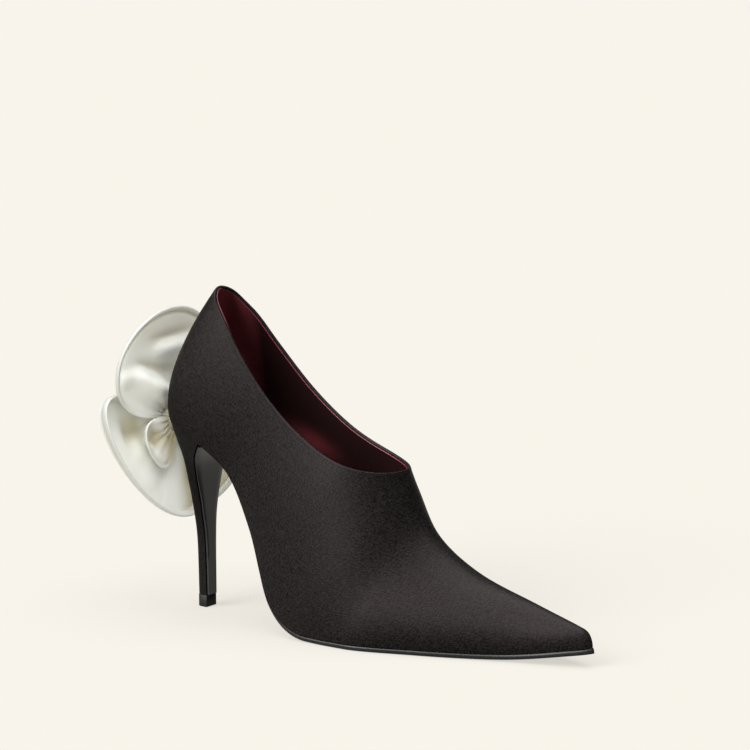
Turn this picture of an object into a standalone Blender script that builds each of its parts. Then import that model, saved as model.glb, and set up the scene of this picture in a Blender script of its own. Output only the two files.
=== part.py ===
"""A satin stiletto: hollow pointed upper, insole, leather sole, slim heel and a padded flower behind it.

Metres, +Z up, +X towards the toe, +Y towards the inner side of a right foot. The shoe stands on the
top lift of its heel and on the tread of its sole, and the origin is under the middle of its box.
"""

import math
from collections import namedtuple

import bmesh
import bpy
import numpy as np
from mathutils import Vector

MM = 0.001

# Driving dimensions of the last, in millimetres.
LENGTH = 240.0  # back of the heel seat to the tip of the toe, measured level
BALL_WIDTH = 74.0
HEEL_HEIGHT = 100.0  # floor to the back edge of the heel seat
INSTEP_HEIGHT = 82.0  # floor to the front of the collar
SEAT_OVERHANG = 17.0  # back of the heel seat behind the axis of the heel tip

# Thicknesses and clearances, in millimetres.
UPPER_WALL = 1.6
SOLE_BEVEL = 0.4
INSOLE_THICKNESS = 1.8
INSOLE_INSET = UPPER_WALL + 0.8
BREAST_COVER_THICKNESS = 1.0
BREAST_COVER_MARGIN = 0.5
TOP_LIFT_HEIGHT = 6.0
TOP_LIFT_PROUD = 0.25
GAP = 0.3
PETAL_THICKNESS = 3.0
SMALL_PETAL_THICKNESS = 2.2

# The last, a row for each section from the back of the heel to the toe. A section starts at the feather
# edge, where upper and sole meet, and arches over to the crown. Percent of LENGTH: along, crown_along.
# Percent of HEEL_HEIGHT: rise. Percent of BALL_WIDTH from the heel's axis: lateral, medial, crown_side.
# Percent of INSTEP_HEIGHT: crown_rise. Shares: lower sets how straight the wall rises, shoulder how
# full the crown is. Millimetres: flare is the outward swell above the feather edge, bow the forward one.
Section = namedtuple(
    "Section",
    "name along rise lateral medial crown_along crown_rise crown_side lower shoulder flare bow",
)
LAST = [
    Section("back", 0.0, 100.0, 0.0, 0.0, 16.8, 219, 0.0, 0.40, 0.60, 0.0, -20.0),
    Section("seat_back", 2.1, 98.0, 19.0, 19.0, 18.0, 219, 0.0, 0.37, 0.30, 5.5, -17.0),
    Section("seat", 6.2, 94.0, 27.0, 27.0, 21.6, 217, 0.0, 0.40, 0.26, 6.0, -9.0),
    Section("breast", 11.7, 87.0, 28.0, 28.0, 28.5, 210, 0.0, 0.35, 0.30, 7.0, -3.0),
    Section("waist", 18.8, 74.0, 26.4, 26.4, 38.8, 193, 0.0, 0.35, 0.48, 9.0, 0.0),
    Section("shank", 25.8, 49.0, 32.0, 31.0, 47.5, 158, 0.0, 0.36, 0.56, 9.0, 0.0),
    Section("joint", 32.9, 14.0, 40.5, 40.5, 53.6, 126, 0.5, 0.48, 0.66, 7.0, 0.0),
    Section("tread", 42.5, 3.3, 46.6, 48.6, 58.0, 93, 1.5, 0.49, 0.55, 3.5, 0.0),
    Section("ball", 52.1, 2.8, 46.6, 51.4, 63.2, 65, 3.0, 0.42, 0.43, 1.5, 0.0),
    Section("vamp", 66.3, 2.8, 33.8, 43.2, 72.6, 45, 5.0, 0.43, 0.46, 2.5, 0.0),
    Section("toe", 83.0, 3.6, 14.2, 25.7, 86.4, 32, 6.5, 0.44, 0.46, 1.8, 0.0),
    Section("point", 95.4, 7.6, 1.4, 14.9, 95.8, 23.5, 6.8, 0.55, 0.60, 0.8, 0.5),
    Section("tip", 100.0, 9.4, -6.8, 6.8, 98.8, 21, 6.8, 0.55, 0.60, 0.0, 1.5),
]

# The sole's edge against the feather edge, in millimetres, from the heel breast to the toe: it is
# tucked under and thin at the waist, and full under the ball.
SoleRow = namedtuple("SoleRow", "section inset thickness")
SOLE_EDGE = [
    SoleRow(3, 2.5, 1.4),
    SoleRow(5, 2.2, 1.4),
    SoleRow(6, 1.5, 1.8),
    SoleRow(7, 0.6, 2.5),
    SoleRow(9, 0.2, 2.5),
    SoleRow(12, -0.4, 2.5),
]

# The collar's edge seen from the side: percent of LENGTH, and percent of INSTEP_HEIGHT.
Topline = namedtuple("Topline", "along height")
COLLAR = [
    Topline(5.8, 201.0),
    Topline(11.0, 199.0),
    Topline(13.5, 190.5),
    Topline(16.5, 181.0),
    Topline(20.8, 165.0),
    Topline(28.3, 140.5),
    Topline(34.2, 126.0),
    Topline(41.2, 113.0),
    Topline(48.8, 104.0),
    Topline(57.0, 100.0),
    Topline(80.0, 100.0),
]

# The heel block below its seat, in millimetres: a row for each ring, down to the top lift.
HeelRing = namedtuple("HeelRing", "name back_height front_height back front half_width")
HEEL_RINGS = [
    HeelRing("cup", 90.0, 79.0, -13.3, 5.0, 16.0),
    HeelRing("neck", 78.0, 72.0, -9.8, 2.2, 12.0),
    HeelRing("shaft", 64.0, 62.0, -7.6, 1.6, 9.0),
    HeelRing("middle", 50.0, 50.0, -6.0, 1.6, 6.2),
    HeelRing("lower", 34.0, 34.0, -4.6, 2.2, 4.3),
    HeelRing("tip", TOP_LIFT_HEIGHT + GAP, TOP_LIFT_HEIGHT + GAP, -4.0, 2.6, 3.7),
]
BREAST_SECTION = 3  # the row of LAST where the heel seat ends

# The flower. A petal is a fan about the knot: degrees from straight up towards the outer side of the
# foot, and millimetres from the knot's middle. spread is the share by which its corners reach further.
# forward moves its root, cup lifts the middle of its rim and lean its second edge towards the shoe.
Petal = namedtuple("Petal", "name middle half_span reach spread corner forward cup lean thickness")
FLOWER_CENTRE = Vector((-26.0, 1.0, 94.0))
KNOT_RADIUS = 6.7
KNOT_FRONT = 9.5
KNOT_BACK = 9.0
PETALS = [
    Petal("petal_top", 6.0, 79.0, 56.0, 0.0, 4.5, 0.0, 4.0, 4.0, PETAL_THICKNESS),
    Petal("petal_outer", 137.0, 74.0, 47.0, 0.2, 10.0, 0.0, 8.0, 5.5, PETAL_THICKNESS),
    Petal("petal_inner", 246.0, 78.0, 57.0, 0.0, 4.0, 0.0, 10.0, 4.0, PETAL_THICKNESS),
    Petal("petal_small", 126.0, 46.0, 28.0, 0.0, 4.5, 7.4, 1.0, 0.0, SMALL_PETAL_THICKNESS),
]

# Mesh resolution.
OPEN_COLUMNS = 24
CLOSED_COLUMNS = 18
WALL_ROWS = 11
SOLE_RIBS = 48
RIB_POINTS = 5
HEEL_COLUMNS = 9
HEEL_LEVELS = 16
PETAL_COLUMNS = 18
PETAL_ROWS = 7

# Base colours and finishes.
SATIN_BLACK = (0.012, 0.010, 0.010)
SOLE_BLACK = (0.008, 0.008, 0.009)
LINING_RED = (0.055, 0.004, 0.010)
SATIN_IVORY = (0.72, 0.68, 0.58)

LATERAL, MEDIAL = -1, 1
TIP = len(LAST) - 1
LOOP = 2 * TIP


def monotone_tangents(values, periodic):
    """Slopes of a smooth curve through rows of values that never overshoots a row."""
    ahead = np.roll(values, -1, axis=0) - values
    behind = np.roll(ahead, 1, axis=0)
    slope = (ahead + behind) / 2
    limit = 3 * np.minimum(np.abs(ahead), np.abs(behind))
    slope = np.where(ahead * behind > 0, np.sign(slope) * np.minimum(np.abs(slope), limit), 0.0)
    if not periodic:
        slope[0] = ahead[0]
        slope[-1] = behind[-1]
    return slope


def cubic(share, start, end, start_slope, end_slope):
    """A curve between two values that leaves and meets them at given slopes."""
    square, cube = share**2, share**3
    return (
        (2 * cube - 3 * square + 1) * start
        + (cube - 2 * square + share) * start_slope
        + (3 * square - 2 * cube) * end
        + (cube - square) * end_slope
    )


def through_rows(values, positions, periodic=False):
    """The smooth curve through rows of values, at fractional row numbers."""
    values = np.asarray(values, float)
    positions = np.asarray(positions, float)
    count = len(values)
    if periodic:
        positions = np.mod(positions, count)
    first = np.clip(np.floor(positions).astype(int), 0, count - 1 if periodic else count - 2)
    second = (first + 1) % count
    share = (positions - first)[..., None]
    slopes = monotone_tangents(values, periodic)
    return cubic(share, values[first], values[second], slopes[first], slopes[second])


def along_to_x(percent):
    return percent / 100 * LENGTH - SEAT_OVERHANG


def section_controls(section, side):
    """The four control points of a section's arch, from feather edge to crown, on one side."""
    half = section.lateral if side == LATERAL else section.medial
    feather = np.array(
        [
            along_to_x(section.along),
            side * half / 100 * BALL_WIDTH,
            section.rise / 100 * HEEL_HEIGHT,
        ]
    )
    crown = np.array(
        [
            along_to_x(section.crown_along),
            section.crown_side / 100 * BALL_WIDTH,
            section.crown_rise / 100 * INSTEP_HEIGHT,
        ]
    )
    rise = (crown - feather) * (1, 0, 1)
    wall = feather + section.lower * rise + (section.bow, side * section.flare, 0)
    shoulder = crown + (0, (feather[1] - crown[1]) * section.shoulder, 0)
    return np.array([feather, wall, shoulder, crown])


def last_controls():
    """The arches right round the shoe: down the lateral side to the toe and back along the medial side."""
    lateral = [section_controls(section, LATERAL) for section in LAST]
    medial = [section_controls(section, MEDIAL) for section in LAST[1:-1]]
    return np.array(lateral + medial[::-1]).reshape(LOOP, 12)


CONTROLS = last_controls()


def last_point(position, height):
    """A point of the last: position counts rows of LAST round the loop, height runs 0 to 1 up the arch."""
    arches = through_rows(CONTROLS, position, periodic=True)
    arches = arches.reshape(arches.shape[:-1] + (4, 3))
    height = np.asarray(height, float)[..., None]
    rest = 1 - height
    return (
        rest**3 * arches[..., 0, :]
        + 3 * rest**2 * height * arches[..., 1, :]
        + 3 * rest * height**2 * arches[..., 2, :]
        + height**3 * arches[..., 3, :]
    )


def collar_height(x):
    """Height of the collar's edge over a place along the shoe, level over the vamp."""
    places = np.array([along_to_x(row.along) for row in COLLAR])
    heights = np.array([row.height / 100 * INSTEP_HEIGHT for row in COLLAR])
    slopes = np.gradient(heights, places)
    slopes[-2:] = 0.0
    x = np.clip(x, places[0], places[-1])
    row = np.clip(np.searchsorted(places, x, side="right") - 1, 0, len(places) - 2)
    span = places[row + 1] - places[row]
    share = (x - places[row]) / span
    return cubic(share, heights[row], heights[row + 1], span * slopes[row], span * slopes[row + 1])


def above_collar(position, height):
    point = last_point(position, height)
    return point[..., 2] - collar_height(point[..., 0])


def collar_share(position):
    """How far up the arch the collar cuts each section; 1 where the section is closed over the foot."""
    low = np.zeros_like(position, dtype=float)
    high = np.ones_like(low)
    for _ in range(40):
        middle = (low + high) / 2
        over = above_collar(position, middle) > 0
        high = np.where(over, middle, high)
        low = np.where(over, low, middle)
    return high


def throat_position():
    """The section whose crown lies on the collar's edge, at the front of the opening."""
    low, high = 0.0, float(TIP)
    for _ in range(40):
        middle = (low + high) / 2
        if above_collar(np.array(middle), np.array(1.0)) > 0:
            low = middle
        else:
            high = middle
    return high


def loop_positions(open_columns, closed_columns):
    """Columns round the upper, closer together near the front of the collar."""
    throat = throat_position()
    opening = throat * (1 - (1 - np.arange(open_columns) / open_columns) ** 2)
    vamp = throat + (TIP - throat) * np.arange(closed_columns + 1) / closed_columns
    lateral = np.concatenate([opening, vamp])
    return np.concatenate([lateral, LOOP - lateral[-2:0:-1]])


def upper_surface():
    positions = loop_positions(OPEN_COLUMNS, CLOSED_COLUMNS)
    tops = collar_share(positions)
    rows = np.arange(WALL_ROWS + 1) / WALL_ROWS
    return last_point(positions[:, None] * np.ones_like(rows), tops[:, None] * rows)


def feather_ribs(positions, inset):
    """Pairs of lateral and medial points, moved in from the feather edge and kept at its height."""
    step = 0.02
    ribs = []
    for side in (LATERAL, MEDIAL):
        around = positions if side == LATERAL else LOOP - positions
        zero = np.zeros_like(around)
        edge = last_point(around, zero)
        run = last_point(around + step, zero) - last_point(around - step, zero)
        inward = np.stack([-run[:, 1], run[:, 0]], axis=1)
        inward /= np.linalg.norm(inward, axis=1)[:, None]
        shift = np.reshape(inset, (-1, 1)) * inward
        edge[:, :2] += shift
        edge[:, 2] += shift[:, 0] * run[:, 2] / run[:, 0]
        ribs.append(edge)
    return ribs


def ribbon(positions, inset, lift):
    """A surface across the shoe along its feather edge, lifted off it at right angles."""
    lateral, medial = feather_ribs(positions, inset)
    middle = (lateral + medial) / 2
    along = np.gradient(middle[:, 0])
    up = np.gradient(middle[:, 2])
    normal = np.stack([-up, np.zeros_like(up), along], axis=1)
    normal /= np.linalg.norm(normal, axis=1)[:, None]
    share = np.linspace(0, 1, RIB_POINTS)[None, :, None]
    flat = lateral[:, None, :] * (1 - share) + medial[:, None, :] * share
    return flat + np.reshape(lift, (-1, 1, 1)) * normal[:, None, :]


def sole_loops():
    """The sole as loops across the shoe, over its top and back under it, from the breast to the toe."""
    sole_start, sole_end = BREAST_SECTION + 0.12, TIP - 0.04
    positions = np.linspace(sole_start, sole_end, SOLE_RIBS + 1)
    sections = [row.section for row in SOLE_EDGE]
    inset = np.interp(positions, sections, [row.inset for row in SOLE_EDGE])
    thickness = np.interp(positions, sections, [row.thickness for row in SOLE_EDGE])
    top = ribbon(positions, inset, -GAP)
    bottom = ribbon(positions, inset + SOLE_BEVEL, -GAP - thickness)
    return np.concatenate([bottom, top[:, ::-1]], axis=1).transpose(1, 0, 2)


def heel_levels(shares):
    """Rings of the heel block at fractional rows: the seat is row 0 and the tip the last."""
    around = np.linspace(BREAST_SECTION, 0, HEEL_COLUMNS)
    around = np.concatenate([around, LOOP - around[-2::-1]])
    seat = last_point(around, np.zeros_like(around))
    across = np.linspace(seat[-1], seat[0], RIB_POINTS)[1:-1]
    seat = np.concatenate([seat, across])
    seat[:, 2] -= GAP
    back, front = seat[:, 0].min(), seat[:, 0].max()
    depth = (seat[:, 0] - back) / (front - back)
    width = seat[:, 1] / np.abs(seat[:, 1]).max()
    rings = [seat]
    for ring in HEEL_RINGS:
        x = ring.back + depth * (ring.front - ring.back)
        z = ring.back_height + depth * (ring.front_height - ring.back_height)
        rings.append(np.stack([x, width * ring.half_width, z], axis=1))
    rings = np.array(rings)
    flat = through_rows(rings.reshape(len(rings), -1), shares)
    return flat.reshape(len(shares), -1, 3)


def breast_cover_surface():
    """The front face of the heel block as a strip, from under the sole to the top lift."""
    top_share = 0.2
    levels = heel_levels(np.linspace(top_share, len(HEEL_RINGS), HEEL_LEVELS))
    corner = 2 * HEEL_COLUMNS - 2
    lateral, medial = levels[:, 0], levels[:, corner]
    middle = (lateral + medial) / 2
    along = np.gradient(middle, axis=0)
    normal = np.stack([-along[:, 2], np.zeros(len(along)), along[:, 0]], axis=1)
    normal /= np.linalg.norm(normal, axis=1)[:, None]
    half = np.maximum(medial[:, 1] - BREAST_COVER_MARGIN, 1.0)
    share = np.linspace(-1, 1, RIB_POINTS)
    strip = np.repeat(middle[:, None, :], RIB_POINTS, axis=1)
    strip[:, :, 1] = half[:, None] * share
    return strip + GAP * normal[:, None, :]


def petal_surface(petal):
    """A fan about the knot with round corners, its rim cupped towards the shoe."""
    root = KNOT_RADIUS + 1.5 * GAP
    widest = 0.97
    across = widest * np.sin(np.linspace(-math.pi / 2, math.pi / 2, PETAL_COLUMNS + 1))
    angle = np.radians(petal.middle + petal.half_span * across)[:, None]
    round_off = np.sqrt(1 - np.abs(across) ** petal.corner)[:, None]
    out = np.linspace(0, 1, PETAL_ROWS + 1)[None, :]
    rim = petal.reach * (1 + petal.spread * across[:, None] ** 2)
    reach = root + (rim - root) * round_off * out
    lift = petal.cup * (reach / petal.reach) ** 2 * (1 - across[:, None] ** 2) ** 2
    x = petal.forward + lift + petal.lean * across[:, None]
    y = -reach * np.sin(angle)
    z = reach * np.cos(angle)
    return np.stack([x, y, z], axis=2) + np.array(FLOWER_CENTRE)


def mesh_from_grid(name, grid, wrap=False, capped=False):
    """A mesh of quads over a grid of points in millimetres, with points that coincide made one."""
    columns, rows = grid.shape[:2]
    shape = bmesh.new()
    points = [[shape.verts.new(point * MM) for point in column] for column in grid]
    for i in range(columns if wrap else columns - 1):
        near, far = points[i], points[(i + 1) % columns]
        for j in range(rows - 1):
            shape.faces.new((near[j], far[j], far[j + 1], near[j + 1]))
    if capped:
        shape.faces.new([column[0] for column in points][::-1])
        shape.faces.new([column[-1] for column in points])
    bmesh.ops.remove_doubles(shape, verts=shape.verts, dist=0.001 * MM)
    mesh = bpy.data.meshes.new(name)
    shape.to_mesh(mesh)
    shape.free()
    return mesh


def finish_material(name, colour, roughness, sheen=0.0):
    material = bpy.data.materials.new(name)
    material.use_nodes = True
    shader = material.node_tree.nodes["Principled BSDF"]
    shader.inputs["Base Color"].default_value = (*colour, 1.0)
    shader.inputs["Roughness"].default_value = roughness
    shader.inputs["Metallic"].default_value = 0.0
    shader.inputs["Sheen Weight"].default_value = sheen
    return material


def add_part(mesh, material, collection, frame):
    part = bpy.data.objects.new(mesh.name, mesh)
    part.parent = frame
    mesh.materials.append(material)
    mesh.shade_smooth()
    mesh.set_sharp_from_angle(angle=math.radians(40))
    collection.objects.link(part)
    return part


def thicken(part, thickness, offset):
    """Gives an open surface its wall: offset -1 adds it behind the faces, 0 on both sides."""
    wall = part.modifiers.new("wall", "SOLIDIFY")
    wall.thickness = thickness * MM
    wall.offset = offset
    wall.use_even_offset = True
    wall.use_quality_normals = True


def knot_mesh():
    """A turned, padded button that the petals are gathered on, its axis along the shoe."""
    profile = [
        (KNOT_FRONT, 0.55),
        (KNOT_FRONT - 0.8, 0.85),
        (KNOT_FRONT - 2.2, 1.0),
        (0.0, 1.0),
        (2.5 - KNOT_BACK, 1.0),
        (0.9 - KNOT_BACK, 0.85),
        (-KNOT_BACK, 0.55),
    ]
    turns = np.linspace(0, 2 * math.pi, PETAL_COLUMNS, endpoint=False)
    grid = np.array(
        [
            [
                (x, KNOT_RADIUS * share * math.sin(turn), KNOT_RADIUS * share * math.cos(turn))
                for x, share in profile
            ]
            for turn in turns
        ]
    )
    return mesh_from_grid("flower_knot", grid + np.array(FLOWER_CENTRE), wrap=True, capped=True)


def build_shoe(collection, frame):
    satin = finish_material("black_satin", SATIN_BLACK, 0.55, sheen=0.3)
    leather = finish_material("black_leather", SOLE_BLACK, 0.35)
    lining = finish_material("red_lining", LINING_RED, 0.45)
    rubber = finish_material("black_rubber", SOLE_BLACK, 0.6)

    upper = add_part(mesh_from_grid("upper", upper_surface(), wrap=True), satin, collection, frame)
    thicken(upper, UPPER_WALL, -1)

    sole = mesh_from_grid("outsole", sole_loops(), wrap=True, capped=True)
    add_part(sole, leather, collection, frame)

    insole_start, insole_end = 0.35, TIP - 0.6
    insole_positions = np.linspace(insole_start, insole_end, SOLE_RIBS + 1)
    insole = mesh_from_grid("insole", ribbon(insole_positions, INSOLE_INSET, GAP + INSOLE_THICKNESS))
    thicken(add_part(insole, lining, collection, frame), INSOLE_THICKNESS, -1)

    levels = heel_levels(np.linspace(0, len(HEEL_RINGS), HEEL_LEVELS))
    heel = mesh_from_grid("heel", levels.transpose(1, 0, 2), wrap=True, capped=True)
    add_part(heel, satin, collection, frame)

    cover = mesh_from_grid("heel_breast", breast_cover_surface())
    thicken(add_part(cover, leather, collection, frame), BREAST_COVER_THICKNESS, 1)

    tip = levels[-1]
    middle = tip.mean(axis=0) * (1, 1, 0)
    outline = tip * (1, 1, 0) - middle
    outline *= 1 + TOP_LIFT_PROUD / np.abs(outline).max()
    stack = np.array([outline + middle + (0, 0, TOP_LIFT_HEIGHT), outline + middle])
    lift = mesh_from_grid("top_lift", stack.transpose(1, 0, 2), wrap=True, capped=True)
    add_part(lift, rubber, collection, frame)


def build_flower(collection, frame):
    ivory = finish_material("ivory_satin", SATIN_IVORY, 0.4, sheen=0.3)
    for petal in PETALS:
        mesh = mesh_from_grid(petal.name, petal_surface(petal))
        thicken(add_part(mesh, ivory, collection, frame), petal.thickness, 0)
    add_part(knot_mesh(), ivory, collection, frame)


def centre_on_floor(collection, frame):
    """Moves the whole shoe so that the origin lies under the middle of its box."""
    bpy.context.view_layer.update()
    graph = bpy.context.evaluated_depsgraph_get()
    corners = []
    for part in collection.objects:
        if part.type == "MESH":
            shown = part.evaluated_get(graph)
            corners += [shown.matrix_world @ Vector(corner) for corner in shown.bound_box]
    low = Vector(min(corner[i] for corner in corners) for i in range(3))
    high = Vector(max(corner[i] for corner in corners) for i in range(3))
    frame.location = (-(low.x + high.x) / 2, -(low.y + high.y) / 2, -low.z)


def main():
    for old in list(bpy.data.objects):
        bpy.data.objects.remove(old)
    collection = bpy.data.collections.new("stiletto")
    bpy.context.scene.collection.children.link(collection)
    frame = bpy.data.objects.new("stiletto_frame", None)
    collection.objects.link(frame)
    build_shoe(collection, frame)
    build_flower(collection, frame)
    centre_on_floor(collection, frame)


main()
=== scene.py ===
"""The looks of a satin stiletto: black satin upper and heel, red lining, leather sole and an ivory flower.

Sizes are millimetres from the axis of the heel's tip, +X towards the toe, +Y towards the inner side of a
right foot and +Z up, until place() puts them into the frame in metres.
"""

import math
from collections import namedtuple

import bmesh
import bpy
import numpy as np
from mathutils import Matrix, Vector


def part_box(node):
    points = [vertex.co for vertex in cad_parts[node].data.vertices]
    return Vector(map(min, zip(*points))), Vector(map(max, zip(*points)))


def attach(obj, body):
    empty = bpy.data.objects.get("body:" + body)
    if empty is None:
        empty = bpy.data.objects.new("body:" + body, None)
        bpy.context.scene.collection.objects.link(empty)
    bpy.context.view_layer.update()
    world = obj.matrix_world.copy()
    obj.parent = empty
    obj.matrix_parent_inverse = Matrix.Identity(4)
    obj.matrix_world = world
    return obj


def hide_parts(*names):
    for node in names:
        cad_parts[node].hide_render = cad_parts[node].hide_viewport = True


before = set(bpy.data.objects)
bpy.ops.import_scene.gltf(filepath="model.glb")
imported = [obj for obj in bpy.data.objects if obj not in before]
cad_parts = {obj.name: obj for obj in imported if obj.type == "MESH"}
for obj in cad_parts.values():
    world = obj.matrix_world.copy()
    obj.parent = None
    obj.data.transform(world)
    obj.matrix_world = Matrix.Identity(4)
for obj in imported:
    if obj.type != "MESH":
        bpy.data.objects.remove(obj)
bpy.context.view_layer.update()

MM = 0.001
TIP_BEHIND_AXIS = 0.7  # middle of the top lift behind the axis that sizes are taken from
lift_low, lift_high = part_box("top_lift")
AXIS = (lift_low + lift_high) / 2 / MM + Vector((TIP_BEHIND_AXIS, 0, 0))
AXIS.z = 0

# Driving dimensions of the last.
LENGTH = 240.0
BALL_WIDTH = 74.0
HEEL_HEIGHT = 100.0
INSTEP_HEIGHT = 82.0
SEAT_OVERHANG = 17.0
UPPER_WALL = 1.6
INSOLE_THICKNESS = 1.8
INSOLE_INSET = UPPER_WALL + 0.8  # clear of the wall
TOP_LIFT_HEIGHT = 6.0
TOP_LIFT_PROUD = 0.25
BREAST_COVER_THICKNESS = 1.0
BREAST_COVER_MARGIN = 0.5
GAP = 0.3

# Sections of the last, in the columns and percents of the part's source.
Section = namedtuple(
    "Section", "name along rise lateral medial crown_along crown_rise crown_side lower shoulder flare bow"
)
LAST = [
    Section("back", 0.0, 100.0, 0.0, 0.0, 16.8, 219, 0.0, 0.40, 0.60, 0.0, -20.0),
    Section("seat_back", 2.1, 98.0, 19.0, 19.0, 18.0, 219, 0.0, 0.37, 0.30, 5.5, -17.0),
    Section("seat", 6.2, 94.0, 27.0, 27.0, 21.6, 217, 0.0, 0.40, 0.26, 6.0, -9.0),
    Section("breast", 11.7, 87.0, 28.0, 28.0, 28.5, 210, 0.0, 0.35, 0.30, 7.0, -3.0),
    Section("waist", 18.8, 74.0, 26.4, 26.4, 38.8, 193, 0.0, 0.35, 0.48, 9.0, 0.0),
    Section("shank", 25.8, 49.0, 32.0, 31.0, 47.5, 158, 0.0, 0.36, 0.56, 9.0, 0.0),
    Section("joint", 32.9, 14.0, 40.5, 40.5, 53.6, 126, 0.5, 0.48, 0.66, 7.0, 0.0),
    Section("tread", 42.5, 3.3, 46.6, 48.6, 58.0, 93, 1.5, 0.49, 0.55, 3.5, 0.0),
    Section("ball", 52.1, 2.8, 46.6, 51.4, 63.2, 65, 3.0, 0.42, 0.43, 1.5, 0.0),
    Section("vamp", 66.3, 2.8, 33.8, 43.2, 72.6, 45, 5.0, 0.43, 0.46, 2.5, 0.0),
    Section("toe", 83.0, 3.6, 14.2, 25.7, 86.4, 32, 6.5, 0.44, 0.46, 1.8, 0.0),
    Section("point", 95.4, 7.6, 1.4, 14.9, 95.8, 23.5, 6.8, 0.55, 0.60, 0.8, 0.5),
    Section("tip", 100.0, 9.4, -6.8, 6.8, 98.8, 21, 6.8, 0.55, 0.60, 0.0, 1.5),
]
SoleRow = namedtuple("SoleRow", "section inset thickness")
SOLE_EDGE = [
    SoleRow(3, 2.5, 1.4),
    SoleRow(5, 2.2, 1.4),
    SoleRow(6, 1.5, 1.8),
    SoleRow(7, 0.6, 2.5),
    SoleRow(9, 0.2, 2.5),
    SoleRow(12, -0.4, 2.5),
]
Topline = namedtuple("Topline", "along height")
COLLAR = [
    Topline(5.8, 201.0),
    Topline(11.0, 199.0),
    Topline(13.5, 190.5),
    Topline(16.5, 181.0),
    Topline(20.8, 165.0),
    Topline(28.3, 140.5),
    Topline(34.2, 126.0),
    Topline(41.2, 113.0),
    Topline(48.8, 104.0),
    Topline(57.0, 100.0),
    Topline(80.0, 100.0),
]
HeelRing = namedtuple("HeelRing", "name back_height front_height back front half_width")
HEEL_RINGS = [
    HeelRing("cup", 90.0, 79.0, -13.3, 5.0, 16.0),
    HeelRing("neck", 78.0, 72.0, -9.8, 2.2, 12.0),
    HeelRing("shaft", 64.0, 62.0, -7.6, 1.6, 9.0),
    HeelRing("middle", 50.0, 50.0, -6.0, 1.6, 6.2),
    HeelRing("lower", 34.0, 34.0, -4.6, 2.2, 4.3),
    HeelRing("tip", TOP_LIFT_HEIGHT + GAP, TOP_LIFT_HEIGHT + GAP, -4.0, 2.6, 3.7),
]
BREAST_SECTION = 3

# The flower's petals as in the part's source, with the height and width of the rim's curl towards the shoe.
Petal = namedtuple(
    "Petal", "name middle half_span reach spread corner forward cup lean thickness curl curl_width"
)
FLOWER_CENTRE = np.array((-26.0, 1.0, 94.0))
KNOT_RADIUS = 6.7
KNOT_FRONT = 9.5
KNOT_BACK = 9.0
PETALS = [
    Petal("petal_top", 6.0, 79.0, 56.0, 0.0, 4.5, 0.0, 4.0, 4.0, 3.0, 2.0, 4.0),
    Petal("petal_outer", 137.0, 74.0, 47.0, 0.2, 10.0, 0.0, 8.0, 5.5, 3.0, 6.0, 4.5),
    Petal("petal_inner", 246.0, 78.0, 57.0, 0.0, 4.0, 0.0, 10.0, 4.0, 3.0, 3.0, 5.0),
    Petal("petal_small", 126.0, 46.0, 28.0, 0.0, 4.5, 7.4, 1.0, 0.0, 2.2, 1.5, 3.0),
]

# Folds placed on a petal: a ridge, or a trough where height is negative, along a line between two places
# given as millimetres to the inner side and up from the flower's middle.
Fold = namedtuple("Fold", "side_0 up_0 side_1 up_1 width height")
FOLDS = {
    "petal_top": [
        Fold(-13, 35, 24, 36, 4.5, 3.0),
        Fold(-20, 41, 22, 43, 4.0, -1.3),
        Fold(-44, 25, -20, 24, 4.5, 2.0),
        Fold(-30, 24, 14, 4, 6.0, 7.0),
        Fold(-30, 31, 12, 22, 4.5, -1.6),
    ],
    "petal_outer": [
        Fold(-16, -3, -36, -6, 8.0, -2.4),
        Fold(-12, -18, -24, -34, 7.0, 1.2),
        Fold(11, -16, 14, -38, 5.0, -1.8),
    ],
    "petal_inner": [
        Fold(14, -14, 30, -34, 6.0, 2.0),
        Fold(16, 4, 46, 12, 7.0, 1.8),
        Fold(4, -30, 34, -38, 3.0, -2.6),
    ],
    "petal_small": [Fold(-15, -3, -21, -13, 8.5, -2.9)],
}

LATERAL, MEDIAL = -1, 1
TIP = len(LAST) - 1
LOOP = 2 * TIP
HALVINGS = 40  # of an interval in which an edge is looked for
NORMAL_STEP = 0.004  # in sections and shares of an arch, for slopes of the last and of its feather edge
FEATHER_STEP = 0.02

# The view of the photograph: the heel's tip in its pixels, and the scale in the plane of that tip.
VIEW_AZIMUTH = math.radians(35.0)
VIEW_ELEVATION = math.radians(9.3)
VIEW_DISTANCE = 1.57
IMAGE_SIZE = 750
SENSOR_WIDTH = 36.0
TIP_PIXEL = (207, 605)
PIXELS_PER_MM = 1.985


def place(points):
    """Points in millimetres from the heel's axis as metres in the frame."""
    return (np.asarray(points, float) + np.array(AXIS)) * MM


# Curves and surfaces of the last

def unit(vectors):
    return vectors / np.linalg.norm(vectors, axis=-1, keepdims=True)


def lengths(line):
    """How far along a line each of its points lies."""
    return np.concatenate([[0], np.cumsum(np.linalg.norm(np.diff(line, axis=0), axis=1))])


def smoothed(loop, rounds):
    """A closed loop of values, each drawn towards its neighbours a number of times."""
    for _ in range(rounds):
        loop = (np.roll(loop, 1, axis=0) + 2 * loop + np.roll(loop, -1, axis=0)) / 4
    return loop


def monotone_tangents(values, periodic):
    ahead = np.roll(values, -1, axis=0) - values
    behind = np.roll(ahead, 1, axis=0)
    slope = (ahead + behind) / 2
    limit = 3 * np.minimum(np.abs(ahead), np.abs(behind))
    slope = np.where(ahead * behind > 0, np.sign(slope) * np.minimum(np.abs(slope), limit), 0.0)
    if not periodic:
        slope[0] = ahead[0]
        slope[-1] = behind[-1]
    return slope


def cubic(share, start, end, start_slope, end_slope):
    """A curve between two values that leaves and meets them at given slopes."""
    square, cube = share**2, share**3
    return (
        (2 * cube - 3 * square + 1) * start
        + (cube - 2 * square + share) * start_slope
        + (3 * square - 2 * cube) * end
        + (cube - square) * end_slope
    )


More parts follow.
